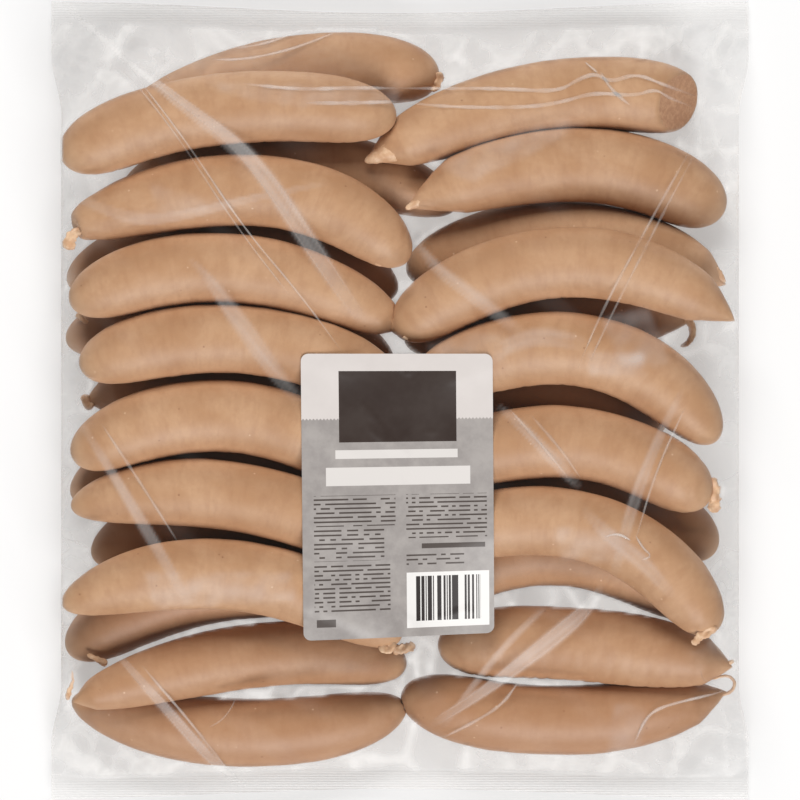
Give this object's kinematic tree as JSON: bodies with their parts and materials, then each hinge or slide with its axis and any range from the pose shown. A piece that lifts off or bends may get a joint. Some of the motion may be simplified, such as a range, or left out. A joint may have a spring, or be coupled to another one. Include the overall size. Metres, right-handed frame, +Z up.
{
  "type": "bag of sausages",
  "caption": "Clear sealed plastic bag packed with loose curved cooked sausages, lying flat, with a plain paper label on its upper face.",
  "frame": {"origin": "middle of the bag's outline, on the floor it lies on", "axes": "+X across the bag, +Y along it to its upper sealed end, +Z up through the labelled face"},
  "size_m": [0.364, 0.416, 0.0685],
  "materials": {
    "sausage": "satin",
    "film": "gloss",
    "label": "matte"
  },
  "bodies": {
    "root": {"bag": "sausage", "label": "label"}
  },
  "joints": []
}
